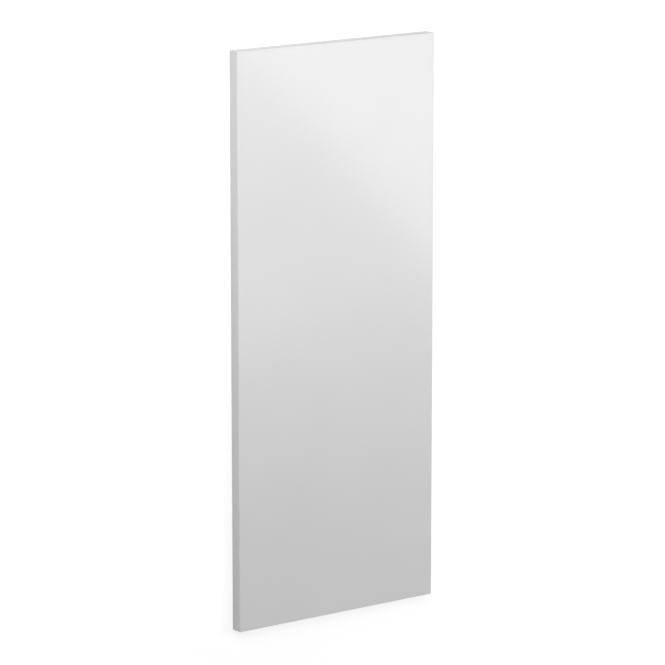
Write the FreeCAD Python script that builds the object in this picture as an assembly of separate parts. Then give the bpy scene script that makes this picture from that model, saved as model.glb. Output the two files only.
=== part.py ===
# A plain gloss white bath panel: one furniture board with eased edges, lying on its back.
# Millimetres. The origin is the centre of the back face, which lies on the floor.
# +Y runs along the panel's length, +X across its width and +Z out of the show face.

import FreeCAD, Part
import os

# Driving dimensions
PANEL_LENGTH = 850.0
PANEL_WIDTH = 350.0
PANEL_THICKNESS = 18.0

# Radius in plan of the four upright corners
CORNER_RADIUS = 1.5

# Radius of the arris round the show face, and of the one round the back
FACE_ARRIS_RADIUS = 1.0
BACK_ARRIS_RADIUS = 0.5

# Two heights closer than this are the same level
LEVEL_TOLERANCE = 1e-6


def sawn_board():
    """The square-edged board, centred over the origin."""
    low_corner = FreeCAD.Vector(-PANEL_WIDTH / 2, -PANEL_LENGTH / 2, 0)
    return Part.makeBox(PANEL_WIDTH, PANEL_LENGTH, PANEL_THICKNESS, low_corner)


def upright_edges(solid):
    """The edges that run the whole way from the back to the show face."""
    full_height = PANEL_THICKNESS - LEVEL_TOLERANCE
    return [edge for edge in solid.Edges if edge.BoundBox.ZLength > full_height]


def edges_at_height(solid, height):
    """The closed loop of edges that lies at one height."""
    lowest = height - LEVEL_TOLERANCE
    highest = height + LEVEL_TOLERANCE
    return [edge for edge in solid.Edges if edge.BoundBox.ZMin > lowest and edge.BoundBox.ZMax < highest]


def bath_panel():
    """The board with its corners rounded in plan, then each arris eased in one loop round its face."""
    solid = sawn_board()
    solid = solid.makeFillet(CORNER_RADIUS, upright_edges(solid))
    solid = solid.makeFillet(FACE_ARRIS_RADIUS, edges_at_height(solid, PANEL_THICKNESS))
    solid = solid.makeFillet(BACK_ARRIS_RADIUS, edges_at_height(solid, 0))
    return solid


os.makedirs("parts", exist_ok=True)
bath_panel().exportStep("parts/bath_panel.step")
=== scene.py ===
# Looks of the bath panel: one white board with a soft gloss, lying face up on a pale studio floor.
# Metres, apart from the lens and the sensor, which are in millimetres.
# The panel's length runs along Y, its width along X, and its show face looks up.

import math

import bpy
from mathutils import Matrix, Quaternion, Vector


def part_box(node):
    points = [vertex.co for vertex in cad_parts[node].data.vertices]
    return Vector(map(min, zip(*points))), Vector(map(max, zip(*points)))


# The camera stands to the left of the panel and a little towards its top end.
# It looks down on the show face with the panel's length upright in the picture.
CAMERA_TURN = math.radians(35.98)
CAMERA_RISE = math.radians(12.04)
CAMERA_DISTANCE = 5.581
CAMERA_LENS = 207.67
SENSOR_WIDTH = 36.0
AIM_LEFT_OF_CENTRE = 0.0085

# Soft lights: where each stands, how wide and tall it is, its roll in degrees and its power in watts.
# In the photograph's view the show face mirrors three of them. The gloss light's reflection ends slantwise,
# from the face's left edge near the top end to its right edge further down. The key lights' reflections end
# below the middle, straight across and one lower than the other, so that the gloss fades softly.
# The side light is low and close, so it isn't mirrored: seen from some sides, its reflection would
# wash the face out.
SOFT_LIGHTS = {
    "gloss_light": dict(place=(1.19, 0.16, 1.4), size=(1.1, 0.5), roll=36, power=4.9),
    "key_light": dict(place=(1.43, -0.07, 2.13), size=(1.0, 1.8), roll=14, power=6.5),
    "low_key_light": dict(place=(1.46, -0.31, 2.1), size=(1.0, 1.8), roll=14, power=3.2),
    "end_light": dict(place=(-0.2, 0.75, 1.3), size=(1.0, 0.6), power=4.8),
    "side_light": dict(place=(-0.9, 0.7, 0.55), size=(0.9, 0.7), power=4.0, mirrored=False),
}

# The surround's level where it lights the panel. Where it is seen, it is plain white.
SURROUND_LEVEL = 0.28
PLAIN_WHITE = 1.0

# The floor: how far it reaches, and how much of the light on it goes back to the panel.
# To the camera it is white. Close round the panel that white is partly its own glow and partly the light
# that falls on it, so the panel's shadow shows there.
FLOOR_REACH = 18.0
FLOOR_WHITENESS = 0.8
FLOOR_GLOW = 0.66
FLOOR_LIT_SHARE = 0.54
SHADOW_REACH = 0.18

# The board's white drifts between two close shades over a hand's breadth
BOARD_WHITES = (0.78, 0.82)
SHADE_SIZE = 0.12

# Roughness of the dull back, of the edges and of the glossy show face, and the share by which it drifts
BACK_ROUGHNESS = 0.45
EDGE_ROUGHNESS = 0.24
FACE_ROUGHNESS = 0.14
ROUGHNESS_DRIFT = 0.1
DRIFT_SIZE = 0.03

# The faint ripple of a pressed or sprayed gloss: how far apart its waves are, and how deep
RIPPLE_SIZE = 0.006
RIPPLE_DEPTH = 0.00001


def grey(level):
    """A neutral, opaque colour of this level."""
    return (level, level, level, 1.0)


def new_tree(owner):
    """An empty node tree on a material or the world."""
    owner.use_nodes = True
    owner.node_tree.nodes.clear()
    return owner.node_tree


def feed(tree, socket, source):
    """Links an output to the socket, or sets the socket to a plain value."""
    if isinstance(source, bpy.types.NodeSocket):
        tree.links.new(source, socket)
    else:
        socket.default_value = source


def add_node(tree, kind, *sources, operation=None, **named_sources):
    """A node of this kind, with its inputs fed in order or by name, and its operation where it has one."""
    node = tree.nodes.new(kind)
    if operation:
        node.operation = operation
    for socket, source in zip(node.inputs, sources):
        feed(tree, socket, source)
    for name, source in named_sources.items():
        feed(tree, node.inputs[name.replace("_", " ")], source)
    return node


def seen_directly(tree):
    """1 on rays from the camera, or from a mirror-like or clear surface, and 0 on diffuse light."""
    path = add_node(tree, "ShaderNodeLightPath").outputs
    seen = path["Is Camera Ray"]
    for ray in ("Is Glossy Ray", "Is Transmission Ray"):
        seen = add_node(tree, "ShaderNodeMath", seen, path[ray], operation="MAXIMUM").outputs[0]
    return seen


def make_world():
    """An even surround, plain white where it is seen and dimmer where it lights the panel."""
    world = bpy.data.worlds.new("studio")
    bpy.context.scene.world = world
    tree = new_tree(world)
    dim = add_node(tree, "ShaderNodeBackground", Color=grey(SURROUND_LEVEL)).outputs[0]
    white = add_node(tree, "ShaderNodeBackground", Color=grey(PLAIN_WHITE)).outputs[0]
    surround = add_node(tree, "ShaderNodeMixShader", seen_directly(tree), dim, white).outputs[0]
    add_node(tree, "ShaderNodeOutputWorld", Surface=surround)


def distance_from_panel(tree, panel_corner):
    """How far a point of the floor lies outside the panel's outline, which is centred on the origin."""
    place = add_node(tree, "ShaderNodeTexCoord").outputs["Object"]
    place = add_node(tree, "ShaderNodeVectorMath", place, operation="ABSOLUTE").outputs[0]
    outside = add_node(tree, "ShaderNodeVectorMath", place, panel_corner, operation="SUBTRACT").outputs[0]
    outside = add_node(tree, "ShaderNodeVectorMath", outside, (0, 0, 0), operation="MAXIMUM").outputs[0]
    return add_node(tree, "ShaderNodeVectorMath", outside, operation="LENGTH").outputs["Value"]


def floor_material(panel_corner):
    """A floor that is white to the camera, with the panel's shadow close round it."""
    material = bpy.data.materials.new("floor")
    tree = new_tree(material)
    distance = distance_from_panel(tree, panel_corner)
    fade = add_node(tree, "ShaderNodeMapRange", Value=distance, From_Max=SHADOW_REACH)
    fade.interpolation_type = "SMOOTHSTEP"

    glow = add_node(tree, "ShaderNodeEmission", Color=grey(FLOOR_GLOW)).outputs[0]
    lit = add_node(tree, "ShaderNodeBsdfDiffuse", Color=grey(FLOOR_LIT_SHARE)).outputs[0]
    near = add_node(tree, "ShaderNodeAddShader", glow, lit).outputs[0]
    far = add_node(tree, "ShaderNodeEmission", Color=grey(PLAIN_WHITE)).outputs[0]
    shown = add_node(tree, "ShaderNodeMixShader", fade.outputs["Result"], near, far).outputs[0]

    bounce = add_node(tree, "ShaderNodeBsdfDiffuse", Color=grey(FLOOR_WHITENESS)).outputs[0]
    surface = add_node(tree, "ShaderNodeMixShader", seen_directly(tree), bounce, shown).outputs[0]
    add_node(tree, "ShaderNodeOutputMaterial", Surface=surface)
    return material


def make_floor(panel_corner):
    """A flat floor under the panel."""
    mesh = bpy.data.meshes.new("floor")
    corners = [(x * FLOOR_REACH, y * FLOOR_REACH, 0) for x, y in ((-1, -1), (1, -1), (1, 1), (-1, 1))]
    mesh.from_pydata(corners, [], [(0, 1, 2, 3)])
    mesh.materials.append(floor_material(panel_corner))
    floor = bpy.data.objects.new("floor", mesh)
    bpy.context.scene.collection.objects.link(floor)


def make_light(name, aim, place, size, power, roll=0, mirrored=True):
    """A soft rectangular light that faces the point it is aimed at, rolled about that line."""
    data = bpy.data.lights.new(name, "AREA")
    data.shape = "RECTANGLE"
    data.size, data.size_y = size
    data.energy = power
    light = bpy.data.objects.new(name, data)
    light.location = place
    facing = (aim - light.location).to_track_quat("-Z", "Y")
    light.rotation_euler = (facing @ Quaternion((0, 0, 1), math.radians(roll))).to_euler()
    light.visible_camera = False
    light.visible_glossy = mirrored
    bpy.context.scene.collection.objects.link(light)


def make_camera(aim):
    """The photograph's view of the panel."""
    back = Vector((
        -math.sin(CAMERA_TURN) * math.cos(CAMERA_RISE),
        math.sin(CAMERA_RISE),
        math.cos(CAMERA_TURN) * math.cos(CAMERA_RISE),
    ))
    right = Vector((0, 1, 0)).cross(back).normalized()
    up = back.cross(right)
    data = bpy.data.cameras.new("camera")
    data.lens = CAMERA_LENS
    data.sensor_width = SENSOR_WIDTH
    camera = bpy.data.objects.new("camera", data)
    turn = Matrix((right, up, back)).transposed().to_4x4()
    camera.matrix_world = Matrix.Translation(aim + back * CAMERA_DISTANCE) @ turn
    bpy.context.scene.collection.objects.link(camera)
    bpy.context.scene.camera = camera


def add_noise(tree, place, size):
    """Soft cloudy noise from 0 to 1, with features of about this size."""
    return add_node(tree, "ShaderNodeTexNoise", Vector=place, Scale=1 / size).outputs["Fac"]


def add_ramp(tree, share, levels):
    """Greys that pass evenly from the first level to the last as the share goes from 0 to 1."""
    ramp = add_node(tree, "ShaderNodeValToRGB", Fac=share)
    stops = ramp.color_ramp.elements
    for inner in range(1, len(levels) - 1):
        stops.new(inner / (len(levels) - 1))
    for stop, level in zip(stops, levels):
        stop.color = grey(level)
    return ramp.outputs["Color"]


def board_roughness(tree, place, normal):
    """Gloss on the show face, a little less on the edges and least on the back, with a slight drift."""
    # The normal's upward share is -1 on the back, 0 on the edges and 1 on the show face
    upward = add_node(tree, "ShaderNodeSeparateXYZ", normal).outputs["Z"]
    side = add_node(tree, "ShaderNodeMapRange", Value=upward, From_Min=-1.0).outputs["Result"]
    by_side = add_ramp(tree, side, (BACK_ROUGHNESS, EDGE_ROUGHNESS, FACE_ROUGHNESS))
    drift = add_node(
        tree,
        "ShaderNodeMapRange",
        Value=add_noise(tree, place, DRIFT_SIZE),
        To_Min=1 - ROUGHNESS_DRIFT,
        To_Max=1 + ROUGHNESS_DRIFT,
    ).outputs["Result"]
    return add_node(tree, "ShaderNodeMath", by_side, drift, operation="MULTIPLY").outputs[0]


def board_material():
    """White gloss board with a faint ripple."""
    material = bpy.data.materials.new("white_gloss_board")
    tree = new_tree(material)
    coordinates = add_node(tree, "ShaderNodeTexCoord").outputs
    place = coordinates["Object"]
    waves = add_noise(tree, place, RIPPLE_SIZE)
    ripple = add_node(tree, "ShaderNodeBump", Height=waves, Distance=RIPPLE_DEPTH)
    board = add_node(
        tree,
        "ShaderNodeBsdfPrincipled",
        Base_Color=add_ramp(tree, add_noise(tree, place, SHADE_SIZE), BOARD_WHITES),
        Roughness=board_roughness(tree, place, coordinates["Normal"]),
        Normal=ripple.outputs["Normal"],
    )
    add_node(tree, "ShaderNodeOutputMaterial", Surface=board.outputs[0])
    return material


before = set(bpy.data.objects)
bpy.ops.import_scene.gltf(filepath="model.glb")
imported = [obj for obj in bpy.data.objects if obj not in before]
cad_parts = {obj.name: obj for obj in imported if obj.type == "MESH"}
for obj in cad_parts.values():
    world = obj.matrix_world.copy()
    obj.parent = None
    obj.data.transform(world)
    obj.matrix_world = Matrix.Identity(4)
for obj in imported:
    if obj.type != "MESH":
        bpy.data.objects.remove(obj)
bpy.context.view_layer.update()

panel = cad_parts["bath_panel"]
panel.material_slots[0].material = board_material()

panel_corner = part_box("bath_panel")[1]
face_centre = Vector((0, 0, panel_corner.z))
make_world()
make_floor(panel_corner)
for name, light in SOFT_LIGHTS.items():
    make_light(name, face_centre, **light)
make_camera(face_centre - Vector((AIM_LEFT_OF_CENTRE, 0, 0)))
bpy.context.scene.view_settings.view_transform = "Standard"
